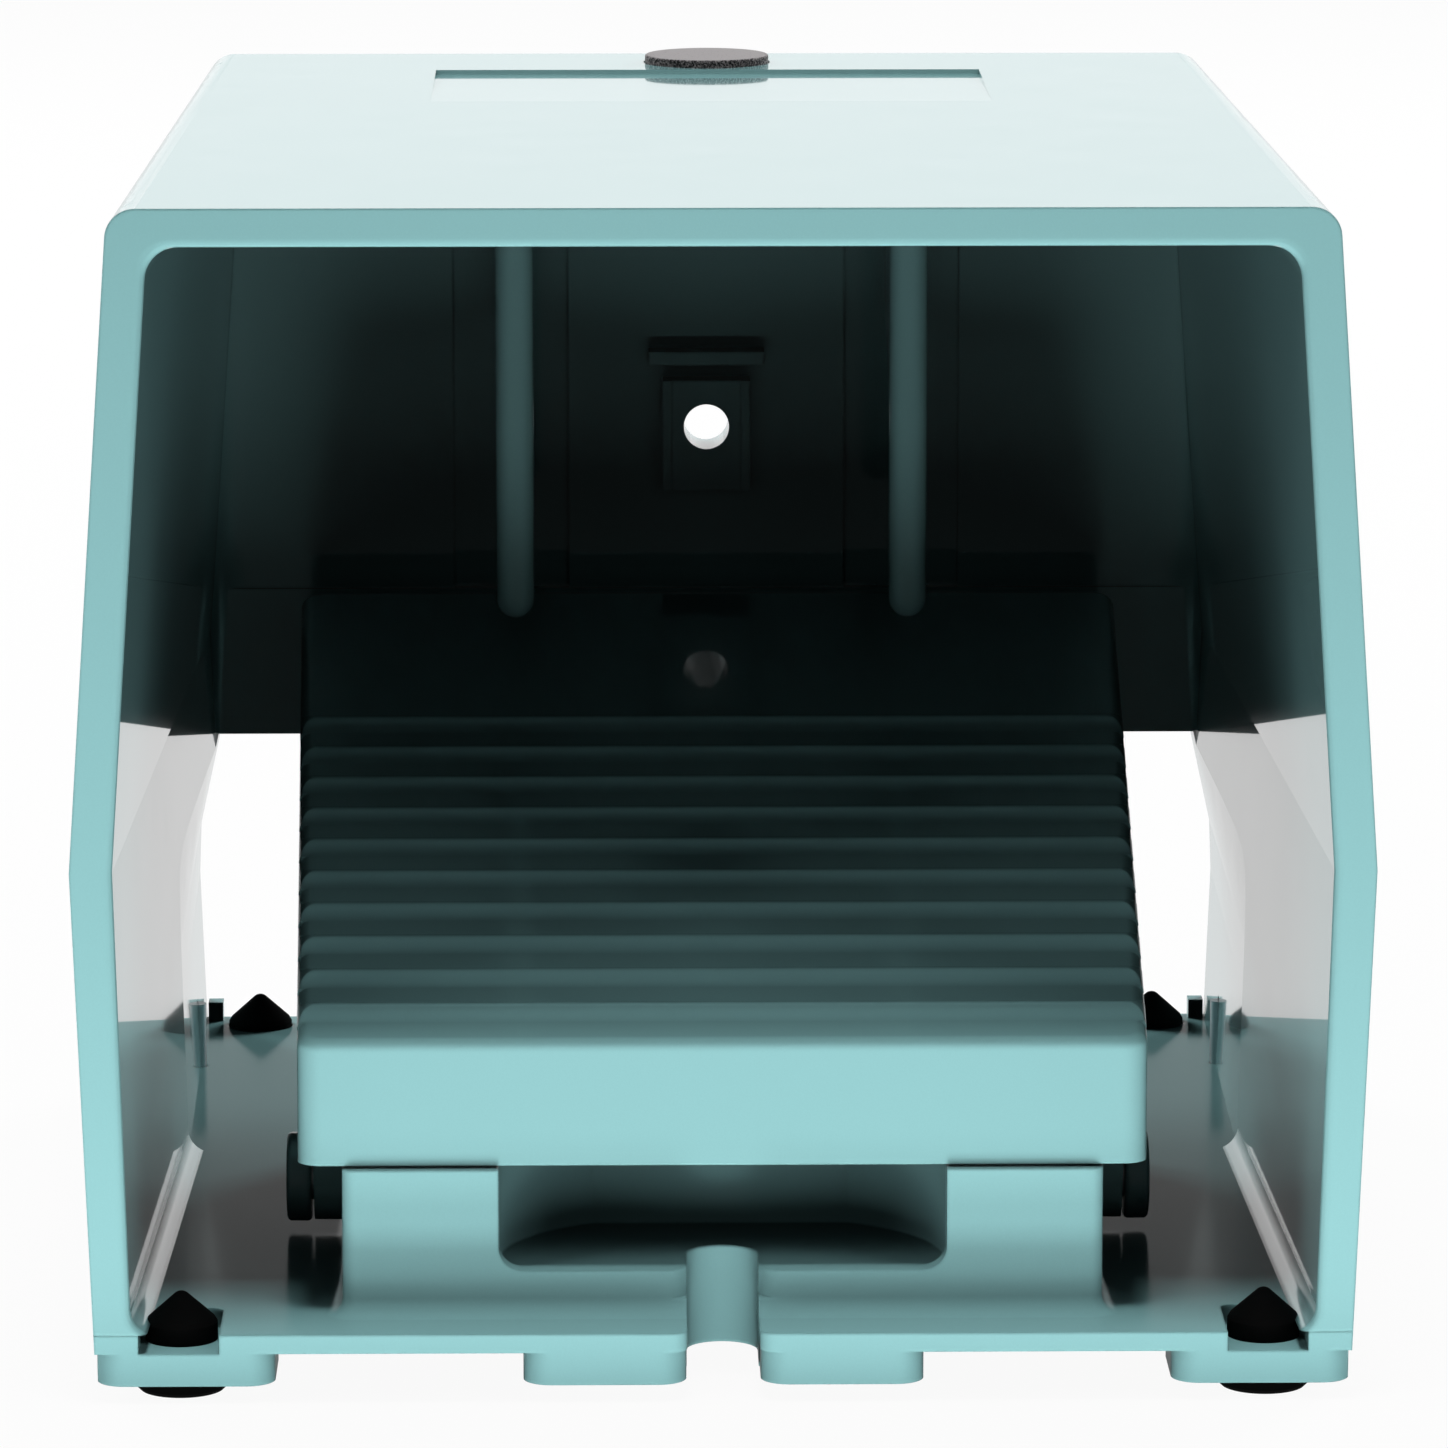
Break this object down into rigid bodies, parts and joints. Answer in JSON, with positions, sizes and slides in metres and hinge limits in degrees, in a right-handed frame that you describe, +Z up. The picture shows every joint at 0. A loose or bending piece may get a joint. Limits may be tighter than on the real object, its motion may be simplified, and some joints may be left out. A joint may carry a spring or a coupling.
{
  "type": "foot pedal switch",
  "caption": "Industrial foot pedal switch: a ribbed, hinged pedal under a protective cast hood with an open front, a round release button in its roof, rubber feet and a cable gland.",
  "frame": {"origin": "middle of the footprint, on the floor under the rubber feet", "axes": "+X to the right seen from the open front, +Y from the open front to the rear wall, +Z up"},
  "size_m": [0.16, 0.182, 0.1496],
  "materials": {
    "hood_paint": "glossy",
    "base_paint": "glossy",
    "pedal_paint": "glossy",
    "cap_paint": "satin",
    "foot_rubber": "matte",
    "seal_rubber": "matte",
    "zinc_steel": "satin",
    "spring_steel": "satin",
    "stem_steel": "satin",
    "bush_bronze": "satin",
    "cover_plastic": "matte",
    "plunger_plastic": "glossy",
    "block_plastic": "matte",
    "terminal_brass": "satin",
    "gland_plastic": "matte",
    "button_plastic": "matte"
  },
  "bodies": {
    "housing": {"hood": "hood_paint", "base": "base_paint", "rubber_foot_front_left": "foot_rubber", "rubber_foot_front_right": "foot_rubber", "rubber_foot_rear_left": "foot_rubber", "rubber_foot_rear_right": "foot_rubber", "hood_screw_1": "zinc_steel", "hood_screw_2": "zinc_steel", "hood_screw_3": "zinc_steel", "hood_screw_4": "zinc_steel", "hood_screw_5": "zinc_steel", "hood_screw_6": "zinc_steel", "cover_screw_1": "zinc_steel", "cover_screw_2": "zinc_steel", "cover_screw_3": "zinc_steel", "cover_screw_4": "zinc_steel", "hinge_pin": "zinc_steel", "hinge_cap_left": "cap_paint", "hinge_cap_right": "cap_paint", "button_bush": "bush_bronze", "chamber_cover": "cover_plastic", "cover_gasket": "seal_rubber", "stop_buffer_left": "seal_rubber", "stop_buffer_right": "seal_rubber", "gland_seal": "seal_rubber", "return_spring": "spring_steel", "button_spring": "spring_steel", "switch_bracket": "zinc_steel", "contact_block": "block_plastic", "terminal_block": "block_plastic", "terminal_screw_1": "terminal_brass", "terminal_screw_2": "terminal_brass", "terminal_screw_3": "terminal_brass", "terminal_screw_4": "terminal_brass", "gland_body": "gland_plastic", "gland_nut": "gland_plastic"},
    "pedal_unit": {"pedal": "pedal_paint", "hinge_bush_left": "bush_bronze", "hinge_bush_right": "bush_bronze", "actuator_screw": "zinc_steel", "actuator_lock_nut": "zinc_steel"},
    "plunger_unit": {"switch_plunger": "plunger_plastic"},
    "release_button": {"button_cap": "button_plastic", "button_stem": "stem_steel", "button_ring": "spring_steel"}
  },
  "joints": [
    {"name": "pedal_hinge", "type": "hinge", "parent": "housing", "child": "pedal_unit", "pos_m": [0, -0.0356, 0.0155], "axis": [-1, 0, 0], "range_deg": [0, 8], "stiffness_Nm_per_rad": 4, "springref_deg": -14.32},
    {"name": "plunger_slide", "type": "slide", "parent": "housing", "child": "plunger_unit", "axis": [0, 0, -1], "range_m": [0, 0.0045], "deforming": ["return_spring"]},
    {"name": "button_slide", "type": "slide", "parent": "housing", "child": "release_button", "axis": [0, 0, -1], "range_m": [0, 0.003], "stiffness_N_per_m": 300, "springref_m": -0.004, "deforming": ["button_spring"]}
  ],
  "couplings": [
    {"joint": "plunger_slide", "follows": "pedal_hinge", "m_per_rad": 0.0318}
  ]
}
